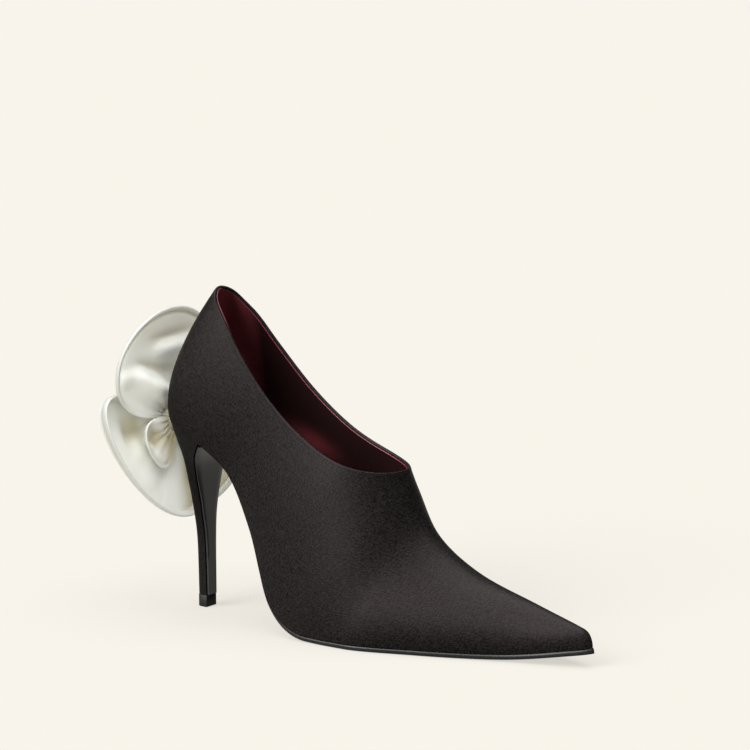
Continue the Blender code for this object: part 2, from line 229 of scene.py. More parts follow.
def ease(share):
    """A share held between 0 and 1 that starts and ends gently."""
    share = np.clip(share, 0, 1)
    return share**2 * (3 - 2 * share)


def through_rows(values, positions, periodic=False):
    """The smooth curve through rows of values, at fractional row numbers."""
    values = np.asarray(values, float)
    positions = np.asarray(positions, float)
    count = len(values)
    if periodic:
        positions = np.mod(positions, count)
    first = np.clip(np.floor(positions).astype(int), 0, count - 1 if periodic else count - 2)
    second = (first + 1) % count
    share = (positions - first)[..., None]
    slopes = monotone_tangents(values, periodic)
    return cubic(share, values[first], values[second], slopes[first], slopes[second])


def along_to_x(percent):
    return percent / 100 * LENGTH - SEAT_OVERHANG


def section_controls(section, side):
    half = section.lateral if side == LATERAL else section.medial
    feather = np.array(
        [along_to_x(section.along), side * half / 100 * BALL_WIDTH, section.rise / 100 * HEEL_HEIGHT]
    )
    crown = np.array(
        [
            along_to_x(section.crown_along),
            section.crown_side / 100 * BALL_WIDTH,
            section.crown_rise / 100 * INSTEP_HEIGHT,
        ]
    )
    rise = (crown - feather) * (1, 0, 1)
    wall = feather + section.lower * rise + (section.bow, side * section.flare, 0)
    shoulder = crown + (0, (feather[1] - crown[1]) * section.shoulder, 0)
    return np.array([feather, wall, shoulder, crown])


def last_controls():
    lateral = [section_controls(section, LATERAL) for section in LAST]
    medial = [section_controls(section, MEDIAL) for section in LAST[1:-1]]
    return np.array(lateral + medial[::-1]).reshape(LOOP, 12)


CONTROLS = last_controls()


def last_point(position, height):
    """A point of the last: position counts sections round the loop, height runs 0 to 1 up the arch."""
    arches = through_rows(CONTROLS, position, periodic=True)
    arches = arches.reshape(arches.shape[:-1] + (4, 3))
    height = np.asarray(height, float)[..., None]
    rest = 1 - height
    return (
        rest**3 * arches[..., 0, :]
        + 3 * rest**2 * height * arches[..., 1, :]
        + 3 * rest * height**2 * arches[..., 2, :]
        + height**3 * arches[..., 3, :]
    )


def last_normal(position, height):
    """The outward normal of the last."""
    ahead = last_point(position + NORMAL_STEP, height)
    behind = last_point(position - NORMAL_STEP, height)
    above = last_point(position, np.minimum(height + NORMAL_STEP, 1))
    below = last_point(position, np.maximum(height - NORMAL_STEP, 0))
    return unit(np.cross(ahead - behind, above - below))


def collar_height(x):
    places = np.array([along_to_x(row.along) for row in COLLAR])
    heights = np.array([row.height / 100 * INSTEP_HEIGHT for row in COLLAR])
    slopes = np.gradient(heights, places)
    slopes[-2:] = 0.0
    x = np.clip(x, places[0], places[-1])
    row = np.clip(np.searchsorted(places, x, side="right") - 1, 0, len(places) - 2)
    span = places[row + 1] - places[row]
    share = (x - places[row]) / span
    return cubic(share, heights[row], heights[row + 1], span * slopes[row], span * slopes[row + 1])


def above_collar(position, height):
    point = last_point(position, height)
    return point[..., 2] - collar_height(point[..., 0])


def collar_share(position):
    """How far up the arch the collar cuts each section; 1 where the section is closed over the foot."""
    low = np.zeros_like(position, dtype=float)
    high = np.ones_like(low)
    for _ in range(HALVINGS):
        middle = (low + high) / 2
        over = above_collar(position, middle) > 0
        high = np.where(over, middle, high)
        low = np.where(over, low, middle)
    return high


def throat_position():
    low, high = 0.0, float(TIP)
    for _ in range(HALVINGS):
        middle = (low + high) / 2
        if above_collar(np.array(middle), np.array(1.0)) > 0:
            low = middle
        else:
            high = middle
    return high


THROAT = throat_position()


def feather_edge(around):
    """Points of the feather edge, with the run of the edge and the level way inwards at each."""
    zero = np.zeros_like(around)
    edge = last_point(around, zero)
    run = last_point(around + FEATHER_STEP, zero) - last_point(around - FEATHER_STEP, zero)
    inward = np.stack([-run[:, 1], run[:, 0]], axis=1)
    return edge, run, unit(inward)


def feather_ribs(positions, inset):
    """Pairs of lateral and medial points, moved in from the feather edge along the sole's slope."""
    ribs = []
    for around in (positions, LOOP - positions):
        edge, run, inward = feather_edge(around)
        shift = np.reshape(inset, (-1, 1)) * inward
        edge[:, :2] += shift
        edge[:, 2] += shift[:, 0] * run[:, 2] / run[:, 0]
        ribs.append(edge)
    return ribs


def sole_normals(positions, inset):
    """The ribs of a layer along the sole, with the upward normal at each."""
    lateral, medial = feather_ribs(positions, inset)
    middle = (lateral + medial) / 2
    along = np.gradient(middle[:, 0])
    up = np.gradient(middle[:, 2])
    return lateral, medial, unit(np.stack([-up, np.zeros_like(up), along], axis=1))


# Meshes

WELD = 0.002  # points closer than this become one


def grid_object(name, grid, material, caps=False, sharp=60.0, **marks):
    """A smooth mesh over columns of points that go once round.

    Its texture coordinates are metres round and along the columns. Marks are values at the points, which
    a material reads by name.
    """
    grid = np.concatenate([grid, grid[:1]])
    columns, rows = grid.shape[:2]
    run = np.linalg.norm(np.diff(grid, axis=0), axis=2)
    around = np.concatenate([[0], np.cumsum(run.mean(axis=1))])
    climb = np.linalg.norm(np.diff(grid, axis=1), axis=2)
    up = np.concatenate([np.zeros((columns, 1)), np.cumsum(climb, axis=1)], axis=1)
    uv = np.stack([np.repeat(around[:, None], rows, axis=1), up], axis=2).reshape(-1, 2) * MM
    number = np.arange(columns * rows).reshape(columns, rows)
    faces = np.stack([number[:-1, :-1], number[1:, :-1], number[1:, 1:], number[:-1, 1:]], axis=2)
    faces = faces.reshape(-1, 4).tolist()
    if caps:
        faces.append(number[:-1, 0].tolist()[::-1])
        faces.append(number[:-1, -1].tolist())
    mesh = bpy.data.meshes.new(name)
    mesh.from_pydata(place(grid.reshape(-1, 3)).tolist(), [], faces)
    layer = mesh.uv_layers.new(name="threads")
    corners = np.zeros(len(mesh.loops), np.int32)
    mesh.loops.foreach_get("vertex_index", corners)
    layer.data.foreach_set("uv", uv[corners].ravel())
    for mark, values in marks.items():
        values = np.concatenate([values, values[:1]])
        mesh.attributes.new(mark, "FLOAT", "POINT").data.foreach_set("value", values.ravel())
    shape = bmesh.new()
    shape.from_mesh(mesh)
    bmesh.ops.remove_doubles(shape, verts=shape.verts, dist=WELD * MM)
    shape.to_mesh(mesh)
    shape.free()
    mesh.shade_smooth()
    mesh.set_sharp_from_angle(angle=math.radians(sharp))
    piece = bpy.data.objects.new(name, mesh)
    bpy.context.scene.collection.objects.link(piece)
    mesh.materials.append(material)
    return piece


def settle(piece, slot, *nodes):
    """Makes a piece part of the shoe, in place of CAD nodes. The slot is not used."""
    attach(piece, "root")
    if nodes:
        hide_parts(*nodes)


# Materials

THREAD_LENGTH = 6  # of a visible thread, in its widths


class Shader:
    """A material's node tree, with short ways to add and join nodes."""

    def __init__(self, name):
        self.material = bpy.data.materials.new(name)
        self.material.use_nodes = True
        self.tree = self.material.node_tree
        self.surface = self.tree.nodes["Principled BSDF"]

    def set(self, **values):
        for key, value in values.items():
            self.surface.inputs[key.replace("_", " ")].default_value = value

    def node(self, kind, **values):
        node = self.tree.nodes.new(kind)
        for key, value in values.items():
            setattr(node, key, value)
        return node

    def join(self, source, target):
        self.tree.links.new(source, target)

    def coordinates(self, kind, scale):
        mapping = self.node("ShaderNodeMapping")
        mapping.inputs["Scale"].default_value = scale
        self.join(self.node("ShaderNodeTexCoord").outputs[kind], mapping.inputs["Vector"])
        return mapping.outputs["Vector"]

    def noise(self, vector, detail=2.0, roughness=0.5):
        noise = self.node("ShaderNodeTexNoise")
        noise.inputs["Scale"].default_value = 1.0
        noise.inputs["Detail"].default_value = detail
        noise.inputs["Roughness"].default_value = roughness
        self.join(vector, noise.inputs["Vector"])
        return noise.outputs["Fac"]

    def ramp(self, factor, low, high, start=0.3, end=0.7):
        ramp = self.node("ShaderNodeValToRGB")
        ramp.color_ramp.elements[0].position = start
        ramp.color_ramp.elements[1].position = end
        ramp.color_ramp.elements[0].color = (*low, 1)
        ramp.color_ramp.elements[1].color = (*high, 1)
        self.join(factor, ramp.inputs["Fac"])
        return ramp.outputs["Color"]

    def spread(self, factor, low, high):
        spread = self.node("ShaderNodeMapRange")
        spread.inputs["To Min"].default_value = low
        spread.inputs["To Max"].default_value = high
        self.join(factor, spread.inputs["Value"])
        return spread.outputs["Result"]

    def blend(self, first, second):
        """Half of each of two values."""
        mix = self.node("ShaderNodeMix")
        mix.inputs["Factor"].default_value = 0.5
        self.join(first, mix.inputs["A"])
        self.join(second, mix.inputs["B"])
        return mix.outputs["Result"]

    def bump(self, height, strength, distance):
        bump = self.node("ShaderNodeBump")
        bump.inputs["Strength"].default_value = strength
        bump.inputs["Distance"].default_value = distance
        self.join(height, bump.inputs["Height"])
        return bump.outputs["Normal"]

    def attribute(self, name):
        return self.node("ShaderNodeAttribute", attribute_name=name).outputs["Fac"]

    def tint(self, colour, other, factor):
        """A colour drawn towards another by a factor."""
        mix = self.node("ShaderNodeMix", data_type="RGBA")
        self.join(factor, mix.inputs["Factor"])
        self.join(colour, mix.inputs[6])
        mix.inputs[7].default_value = (*other, 1)
        return mix.outputs[2]

    def colour(self, output):
        self.join(output, self.surface.inputs["Base Color"])

    def roughness(self, output):
        self.join(output, self.surface.inputs["Roughness"])

    def normal(self, output):
        self.join(output, self.surface.inputs["Normal"])


def woven(shader, warp, weft):
    """A height of fine crossing threads, warp and weft per metre."""
    lengthwise = shader.noise(shader.coordinates("UV", (warp, weft / THREAD_LENGTH, 1)))
    crosswise = shader.noise(shader.coordinates("UV", (warp / THREAD_LENGTH, weft, 1)))
    return shader.blend(lengthwise, crosswise)


def black_satin():
    shader = Shader("black_satin")
    shader.set(Metallic=0.0, Specular_IOR_Level=0.038, Specular_Tint=(1.0, 0.87, 0.85, 1))
    threads = woven(shader, 1500, 1500)
    mottle = shader.noise(shader.coordinates("UV", (1100, 1100, 1)), detail=3.0)
    grain = shader.blend(threads, mottle)
    shader.colour(shader.ramp(grain, (0.0, 0.0, 0.0), (0.0048, 0.0041, 0.0039), 0.40, 0.60))
    shader.roughness(shader.spread(grain, 0.43, 0.57))
    shader.normal(shader.bump(grain, 0.5, 0.00027))
    return shader.material


def red_lining():
    shader = Shader("red_lining")
    shader.set(Metallic=0.0, Specular_IOR_Level=0.14)
    grain = shader.noise(shader.coordinates("UV", (900, 900, 1)), detail=4.0, roughness=0.6)
    leather = shader.ramp(grain, (0.22, 0.040, 0.048), (0.27, 0.050, 0.060))
    # The shade mark draws the leather towards near black: painted shade on the lining, an even darker tone on
    # the insole.
    shader.colour(shader.tint(leather, (0.004, 0.0013, 0.0012), shader.attribute("shade")))
    shader.roughness(shader.spread(grain, 0.32, 0.44))
    shader.normal(shader.bump(grain, 0.25, 0.0001))
    return shader.material


def grained(name, kind, scale, detail, low, high, roughness, bump, **surface):
    """A plain material with one fine grain in its colour, gloss and height."""
    shader = Shader(name)
    shader.set(Metallic=0.0, **surface)
    grain = shader.noise(shader.coordinates(kind, (scale, scale, scale)), detail=detail)
    shader.colour(shader.ramp(grain, low, high))
    shader.roughness(shader.spread(grain, *roughness))
    if bump:
        shader.normal(shader.bump(grain, *bump))
    return shader.material


def lining_edge():
    low, high = (0.05, 0.008, 0.013), (0.07, 0.011, 0.018)
    bump = (0.2, 0.00008)
    return grained("lining_edge", "UV", 700, 3.0, low, high, (0.35, 0.48), bump, Specular_IOR_Level=0.15)


def leather(name, low, high, **surface):
    bump = (0.12, 0.00008)
    return grained(name, "Object", 1200, 4.0, low, high, (0.3, 0.42), bump, Coat_Roughness=0.15, **surface)


def black_leather():
    low, high = (0.003, 0.003, 0.003), (0.006, 0.006, 0.006)
    return leather("black_leather", low, high, Specular_IOR_Level=0.075, Coat_Weight=0.02)


def breast_leather():
    low, high = (0.006, 0.006, 0.0065), (0.011, 0.011, 0.012)
    return leather("breast_leather", low, high, Specular_IOR_Level=0.26, Coat_Weight=0.04)


def black_rubber():
    low, high = (0.002, 0.002, 0.002), (0.004, 0.004, 0.004)
    bump = (0.25, 0.0001)
    return grained("black_rubber", "Object", 2200, 3.0, low, high, (0.5, 0.7), bump, Specular_IOR_Level=0.1)


def stitch_thread():
    low, high = (0.0004, 0.0003, 0.0003), (0.002, 0.0017, 0.0016)
    roughness = (0.45, 0.65)
    return grained("stitch_thread", "Object", 3000, 2.0, low, high, roughness, None, Specular_IOR_Level=0.05)


def ivory_satin():
    shader = Shader("ivory_satin")
    shader.set(Metallic=0.0, Specular_IOR_Level=0.5, Sheen_Weight=0.12, Sheen_Roughness=0.35)
    shader.set(Subsurface_Weight=0.2, Subsurface_Radius=(1.0, 0.9, 0.7), Subsurface_Scale=0.003)
    threads = woven(shader, 2600, 2600)
    mottle = shader.noise(shader.coordinates("Object", (60, 60, 60)), detail=3.0)
    cloth = shader.ramp(mottle, (0.815, 0.822, 0.762), (0.865, 0.875, 0.82))
    # Painted shade: the cloth drawn towards olive where the shade mark says.
    shaded = shader.tint(cloth, (0.52, 0.47, 0.30), shader.attribute("shade"))
    # Painted shade on the rolled rim: the cloth drawn towards grey where the rim mark says.
    shader.colour(shader.tint(shaded, (0.50, 0.51, 0.485), shader.attribute("rim")))
    shader.roughness(shader.spread(threads, 0.34, 0.46))
    shader.normal(shader.bump(threads, 0.12, 0.00008))
    return shader.material


SATIN = black_satin()
LINING = red_lining()
EDGE = lining_edge()
LEATHER = black_leather()
BREAST = breast_leather()
RUBBER = black_rubber()
THREAD = stitch_thread()
IVORY = ivory_satin()


# The upper

OPEN_COLUMNS = 120
CLOSED_COLUMNS = 110
WALL_ROWS = 56
TOE_RADIUS = 12.0  # of the toe's upper front corner, seen from the side
TOE_BEHIND, TOE_BELOW = 0.6, 0.4  # where lines to it start: sections behind it, height in the arch
LASTING_MARGIN = 4.0  # how far the satin is folded in under the insole, and how far at the toe
LASTING_AT_TOE = 1.5
LASTING_NARROWS = (60.0, 95.0)  # percents of the length between which the one becomes the other
LASTING_ROWS = 4
EDGE_ROUNDS = 20
RIM_HEIGHT = 0.5  # of the satin turned in over the collar's edge
RIM_OVERLAP = 0.08
RIM_SKIRT = 0.4
RIM_TURN_IN = 0.8
LINING_BEAD = 0.28
LINING_PEEK = 1.35  # how far the lining's edge climbs over the satin on the lateral side of the counter
PEEK_ENDS, PEEK_SINKS = 20.0, 16.0  # along the shoe, where it starts to sink, and how far that takes
PEEK_SIDE, PEEK_GROWS = 4.0, 10.0  # on the inner side, where it starts to climb, and how far that takes
LINING_LIGHT = -6.5  # along the shoe, where the painted shade on the lining starts, and how far it takes to grow
LINING_DARKENS = 30.0
LINING_CURVE = 0.7  # under 1, it darkens fastest at first
GLOW_ALONG, GLOW_HEIGHT = 49.0, 86.0  # a painted highlight on the inner wall, its slope, length and width
GLOW_SLOPE = -0.39
GLOW_LENGTH, GLOW_WIDTH = 13.0, 5.5
GLOW_SHARE = 0.25
STITCH_BELOW_EDGE = 0.9
STITCH_PITCH = 1.7
STITCH_LENGTH = 1.15
STITCH_WIDTH = 0.36
STITCH_FLAT = 0.7  # height of a stitch as a share of its width
STITCH_END = 0.01  # radius of its blunt ends
STITCH_RINGS, STITCH_SIDES = 7, 8


def opening_positions():
    """Columns from the back to the throat along the lateral side, closer together near the throat."""
    return THROAT * (1 - (1 - np.arange(OPEN_COLUMNS + 1) / OPEN_COLUMNS) ** 2)


def loop_positions():
    """Columns once round the upper, from the back along the lateral side."""
    vamp = THROAT + (TIP - THROAT) * np.arange(CLOSED_COLUMNS + 1) / CLOSED_COLUMNS
    lateral = np.concatenate([opening_positions()[:-1], vamp])
    return np.concatenate([lateral, LOOP - lateral[-2:0:-1]])


def collar_positions():
    """The columns whose top lies on the collar, once round from the throat along the medial side."""
    opening = opening_positions()
    return np.concatenate([-opening[:0:-1], opening[:-1]])


def collar_frames():
    """Points round the collar's edge, with the outward and the upward way at each."""
    positions = collar_positions()
    shares = collar_share(np.abs(positions))
    edge = last_point(positions, shares)
    out = unit(smoothed(last_normal(positions, shares), EDGE_ROUNDS))
    run = np.roll(edge, -1, axis=0) - np.roll(edge, 1, axis=0)
    up = unit(np.cross(out, run))
    up *= np.sign(up[:, 2].mean())
    return edge, out, up


def sweep_collar(profile):
    """A strip round the collar through (out, up) points of a profile."""
    edge, out, up = collar_frames()
    return np.stack([edge + a * out + b * up for a, b in profile], axis=1)


def arc(middle_out, middle_up, radius, start, end, steps):
    """Points (out, up) along an arc between two angles in degrees."""
    turns = np.radians(np.linspace(start, end, steps))
    return [(middle_out + radius * math.cos(t), middle_up + radius * math.sin(t)) for t in turns]


def round_toe(points, radius):
    """Points of the upper with the toe's upper front corner rounded off, as seen from the side."""
    positions, shares = np.array(((TIP, TIP - TOE_BEHIND, TIP), (1.0, 1.0, TOE_BELOW)))
    corner, behind, below = last_point(positions, shares)[:, ::2]
    ridge, front = corner - behind, below - corner
    faces = unit(np.array([(-ridge[1], ridge[0]), (-front[1], front[0])]))
    middle = corner - np.linalg.solve(faces, np.full(2, TOE_RADIUS))
    away = points[..., ::2] - middle
    far = np.linalg.norm(away, axis=-1)
    ahead = (away @ ridge > 0) & (away @ front < 0) & (far > radius)
    pull = np.where(ahead, radius / np.maximum(far, radius), 1.0)
    rounded = points.copy()
    rounded[..., ::2] = middle + away * pull[..., None]
    return rounded


def lasting_margin(positions):
    """The satin's folded-in edge: rows of points at the sole's height, from inside to the feather edge."""
    edge, _, inward = feather_edge(positions)
    heights = edge[: np.argmax(edge[:, 0]) + 1, ::2].T
    narrows = along_to_x(np.array(LASTING_NARROWS))
    width = np.interp(edge[:, 0], narrows, (LASTING_MARGIN, LASTING_AT_TOE))
    rows = []
    for share in np.linspace(1, 0, LASTING_ROWS, endpoint=False):
        row = edge.copy()
        row[:, :2] += share * width[:, None] * inward
        row[:, 2] = np.interp(row[:, 0], *heights)
        rows.append(row)
    return np.stack(rows, axis=1)


def lining_shade(inner):
    """Painted shade on the lining, darker towards the toe, with a painted highlight on the inner wall."""
    inwards = np.clip((inner[..., 0] - LINING_LIGHT) / LINING_DARKENS, 0, 1) ** LINING_CURVE
    ahead = inner[..., 0] - GLOW_ALONG
    over = inner[..., 2] - GLOW_HEIGHT - GLOW_SLOPE * ahead
    glow = np.exp(-((ahead / GLOW_LENGTH) ** 2) - (over / GLOW_WIDTH) ** 2)
    return inwards * (1 - GLOW_SHARE * glow * (inner[..., 1] > 0))


def build_upper():
    positions = loop_positions()
    tops = collar_share(np.where(positions > TIP, LOOP - positions, positions))
    rows = np.arange(WALL_ROWS + 1) / WALL_ROWS
    where = positions[:, None] * np.ones_like(rows)
    shares = tops[:, None] * rows
    wall = last_point(where, shares)
    satin = np.concatenate([lasting_margin(positions), round_toe(wall, TOE_RADIUS)], axis=1)
    settle(grid_object("upper_satin", satin, SATIN), "black_satin", "upper")

    inner = round_toe(wall - UPPER_WALL * last_normal(where, shares), TOE_RADIUS - UPPER_WALL)
    shade = lining_shade(inner)
    lining = grid_object("upper_lining", inner[::-1], LINING, shade=shade[::-1])
    settle(lining, "red_lining")


def build_collar():
    """The satin turned in over the collar's edge, and the edge of the lining beside it."""
    half = UPPER_WALL / 2 + RIM_OVERLAP
    rim = [(0.0, -RIM_SKIRT)]
    rim += [(out - half, up * RIM_HEIGHT / half) for out, up in arc(0, 0, half, 0, 180, 11)]
    rim += [(-2 * half, -share * RIM_TURN_IN) for share in (0.3, 0.65, 1.0)]
    settle(grid_object("collar_rim", sweep_collar(rim), SATIN), "black_satin")

    edge, _, up = collar_frames()
    lateral = ease((PEEK_SIDE - edge[:, 1]) / PEEK_GROWS)
    behind = ease((PEEK_ENDS + PEEK_SINKS - edge[:, 0]) / PEEK_SINKS)
    climb = LINING_PEEK * lateral * behind
    bead = sweep_collar(arc(-2 * half, -RIM_TURN_IN, LINING_BEAD, 60, 270, 9))
    bead += (climb[:, None] * up)[:, None]
    settle(grid_object("lining_edge", bead, EDGE), "red_lining")


def stitch_rings(start, end, out):
    """Rings of points along a short rounded stitch, half sunk into the satin."""
    along = end - start
    side = unit(np.cross(out, along))
    turns = np.linspace(0, 2 * math.pi, STITCH_SIDES, endpoint=False)
    circle = [math.cos(t) * side + STITCH_FLAT * math.sin(t) * out for t in turns]
    rings = []
    for share in np.linspace(0, 1, STITCH_RINGS):
        swell = math.sqrt(max(0.0, 1 - (2 * share - 1) ** 4)) * STITCH_WIDTH / 2 + STITCH_END
        rings.append([start + share * along + swell * spoke for spoke in circle])
    return np.array(rings)


def along_line(spot, length, line):
    """The point of a line, or the value along it, at a length from its start."""
    return np.array([np.interp(spot, length, line[:, k]) for k in range(3)])


def build_stitches():
    edge, out, up = collar_frames()
    line = edge - STITCH_BELOW_EDGE * up
    line = np.concatenate([line, line[:1]])
    out = np.concatenate([out, out[:1]])
    length = lengths(line)
    count = int(length[-1] / STITCH_PITCH)
    vertices, faces = [], []
    for i in range(count):
        ends = (i + np.array([0, STITCH_LENGTH / STITCH_PITCH])) * length[-1] / count
        start, end = (along_line(spot, length, line) for spot in ends)
        rings = stitch_rings(start, end, along_line(ends.mean(), length, out))
        number = len(vertices) + np.arange(STITCH_RINGS * STITCH_SIDES).reshape(STITCH_RINGS, STITCH_SIDES)
        beside = np.roll(number, -1, axis=1)
        vertices += place(rings.reshape(-1, 3)).tolist()
        sides = np.stack([number[:-1], beside[:-1], beside[1:], number[1:]], axis=2)
        faces += sides.reshape(-1, 4).tolist()
        faces += [number[0, ::-1].tolist(), number[-1].tolist()]
    mesh = bpy.data.meshes.new("collar_stitches")
    mesh.from_pydata(vertices, [], faces)
    mesh.shade_smooth()
    mesh.materials.append(THREAD)
    piece = bpy.data.objects.new("collar_stitches", mesh)
    bpy.context.scene.collection.objects.link(piece)
    settle(piece, "black_satin")


# Sole, insole and heel

SOLE_RIBS = 220
SOLE_STARTS, SOLE_STOPS = 0.12, 0.04  # in sections, in front of the breast and behind the tip
# The sole edge's outline as shares of the thickness down, and millimetres in from the widest line.
SOLE_PROFILE = [(0.0, 0.6), (0.1, 0.36), (0.22, 0.14), (0.36, 0.02)]
SOLE_PROFILE += [(0.6, 0.0), (0.82, 0.1), (0.95, 0.28), (1.0, 0.5)]
SOLE_ACROSS = np.linspace(0.02, 0.98, 13)
SOLE_UNDER_INSET, SOLE_TOP_INSET = 0.5, 0.25
INSOLE_STARTS, INSOLE_STOPS = 0.35, 0.6  # in sections, in front of the back and behind the tip
INSOLE_COLUMNS = 15
INSOLE_ROUNDING = 0.6  # how far the edges of its top drop, over which share of its width
INSOLE_ROUND_SHARE = 0.03
INSOLE_SHADE = 0.7
HEEL_COLUMNS = 31
HEEL_LEVELS = 70
SEAT_SEAM = 0.05
SEAT_FRONT_POINTS = 11
BREAST_STARTS = 0.2  # in rings below the seat
BREAST_LEAST_HALF = 1.0


def build_sole():
    positions = np.linspace(BREAST_SECTION + SOLE_STARTS, TIP - SOLE_STOPS, SOLE_RIBS + 1)
    sections = [row.section for row in SOLE_EDGE]
    inset = np.interp(positions, sections, [row.inset for row in SOLE_EDGE])
    thickness = np.interp(positions, sections, [row.thickness for row in SOLE_EDGE])
    lateral, medial, normal = sole_normals(positions, inset)
    across = medial - lateral
    width = np.linalg.norm(across, axis=1)[:, None]
    across /= width

    def drop(share):
        return (GAP + share * thickness)[:, None] * normal

    def reach(share, margin):
        return (margin + share * (width - 2 * margin)) * across

    loop = [lateral - drop(down) + side * across for down, side in SOLE_PROFILE]
    loop += [lateral - drop(1) + reach(share, SOLE_UNDER_INSET) for share in SOLE_ACROSS]
    loop += [medial - drop(down) - side * across for down, side in SOLE_PROFILE[::-1]]
    loop += [lateral - drop(0) + reach(share, SOLE_TOP_INSET) for share in SOLE_ACROSS[::-1]]
    sole = grid_object("sole_leather", np.array(loop), LEATHER, caps=True, sharp=45)
    settle(sole, "black_leather", "outsole")


def build_insole():
    positions = np.linspace(INSOLE_STARTS, TIP - INSOLE_STOPS, SOLE_RIBS + 1)
    lateral, medial, normal = sole_normals(positions, INSOLE_INSET)
    share = np.linspace(0, 1, INSOLE_COLUMNS)[None, :, None]
    middle = lateral[:, None] * (1 - share) + medial[:, None] * share
    round_over = INSOLE_ROUNDING * np.exp(-np.minimum(share, 1 - share) / INSOLE_ROUND_SHARE)
    top = middle + (GAP + INSOLE_THICKNESS - round_over) * normal[:, None]
    bottom = middle + GAP * normal[:, None]
    grid = np.concatenate([top, bottom[:, ::-1]], axis=1).transpose(1, 0, 2)
    shade = np.full(grid.shape[:2], INSOLE_SHADE)
    cover = grid_object("insole_cover", grid, LINING, caps=True, sharp=45, shade=shade)
    settle(cover, "red_lining", "insole")


def heel_rings(shares):
    """Rings of the heel at fractional numbers, from 0 at the seat through HEEL_RINGS to the tip."""
    around = np.linspace(BREAST_SECTION, 0, HEEL_COLUMNS)
    around = np.concatenate([around, LOOP - around[-2::-1]])
    seat = last_point(around, np.zeros_like(around))
    across = np.linspace(seat[-1], seat[0], SEAT_FRONT_POINTS)[1:-1]
    seat = np.concatenate([seat, across])
    seat[:, 2] -= SEAT_SEAM
    back, front = seat[:, 0].min(), seat[:, 0].max()
    depth = (seat[:, 0] - back) / (front - back)
    width = seat[:, 1] / np.abs(seat[:, 1]).max()
    rings = [seat]
    for ring in HEEL_RINGS:
        x = ring.back + depth * (ring.front - ring.back)
        z = ring.back_height + depth * (ring.front_height - ring.back_height)
        rings.append(np.stack([x, width * ring.half_width, z], axis=1))
    rings = np.array(rings)
    flat = through_rows(rings.reshape(len(rings), -1), shares)
    return flat.reshape(len(shares), -1, 3)


def build_heel():
    levels = heel_rings(np.linspace(0, len(HEEL_RINGS), HEEL_LEVELS))
    heel = grid_object("heel_satin", levels.transpose(1, 0, 2), SATIN, caps=True, sharp=50)
    settle(heel, "black_satin", "heel")

    tip = levels[-1]
    middle = tip.mean(axis=0) * (1, 1, 0)
    outline = tip * (1, 1, 0) - middle
    outline *= 1 + TOP_LIFT_PROUD / np.abs(outline).max()
    # Heights of the lift's rings, and how far each is drawn in at its rounded edges.
    rings = [(TOP_LIFT_HEIGHT, 0.93), (TOP_LIFT_HEIGHT - 0.25, 1.0), (0.3, 1.0), (0.0, 0.95)]
    stack = np.array([outline * share + middle + (0, 0, height) for height, share in rings])
    lift = grid_object("top_lift_rubber", stack.transpose(1, 0, 2), RUBBER, caps=True, sharp=50)
    settle(lift, "black_rubber", "top_lift")


def build_breast():
    levels = heel_rings(np.linspace(BREAST_STARTS, len(HEEL_RINGS), HEEL_LEVELS))
    corner = 2 * HEEL_COLUMNS - 2
    lateral, medial = levels[:, 0], levels[:, corner]
    middle = (lateral + medial) / 2
    along = np.gradient(middle, axis=0)
    normal = unit(np.stack([-along[:, 2], np.zeros(len(along)), along[:, 0]], axis=1))
    half = np.maximum(medial[:, 1] - BREAST_COVER_MARGIN, BREAST_LEAST_HALF)
    # Across the cover: share of its half width, and share of its thickness, round the two edges.
    outline = [(-0.96, 0.0), (-1.0, 0.35), (-0.99, 0.75), (-0.93, 1.0), (-0.6, 1.0), (-0.2, 1.0)]
    outline += [(-side, height) for side, height in outline[::-1]]
    columns = []
    for side, height in outline:
        point = middle + (GAP + height * BREAST_COVER_THICKNESS) * normal
        columns.append(point + side * half[:, None] * (0, 1, 0))
    cover = grid_object("breast_leather", np.array(columns)[::-1], BREAST, caps=True, sharp=50)
    settle(cover, "black_leather", "heel_breast")


# The flower

PETAL_POINTS = 260
ARC_POINTS, SIDE_POINTS, ROOT_POINTS = 200, 18, 40  # of an outline before its points are spaced evenly
PETAL_WIDEST = 0.98
CORNER_ROUNDS = 8
# How far the rings near the rim lie inside the outline. The other rings follow evenly up to the middle.
RING_DEPTHS = [0, 0.08, 0.25, 0.5, 0.75, 1.0, 1.3, 1.6, 1.8, 2.0, 2.2, 2.4, 2.6, 2.9, 3.3, 4.0, 5.0, 6.4, 8.0]
INNER_RINGS = 33
ROOT = KNOT_RADIUS + 1.5 * GAP
ROOT_THIN, ROOT_GROWS = 0.3, 14.0  # share of the padding at the root, and how far it takes to become full
CURL_GROWS = 24.0
PLEATS = 24
PLEAT_HEIGHT = 0.8
PLEAT_LENGTH = 10.0
PLEAT_INSET, FOLD_INSET = 1.5, 3.0  # how far inside the outline pleats and folds have their full height
FOLD_ENDS = 1.15  # how early a fold fades towards its two ends
STEEP_SIDE = 0.7  # width of a fold on the left of its line, where it is steeper
RIM_SHARE = 0.34  # radius of the rolled rim as a share of the petal's thickness
RIM_FROM = 18.0  # from the flower's middle, where the rolled rim starts, and how far it takes to become full
RIM_GROWS = 16.0
RIM_ENDS = 0.0  # height over the flower's middle where the top petal's rim is gone, and how far that takes
RIM_FADES = 14.0
SEAM_IN = 2.2
SEAM_HALF = 0.4
PADDED = 3.0  # thickness of a full petal
PAD_RISES = 2.5  # how far the pad takes to become full, from the seam or from an edge without one
PLAIN_EDGE = 5.0
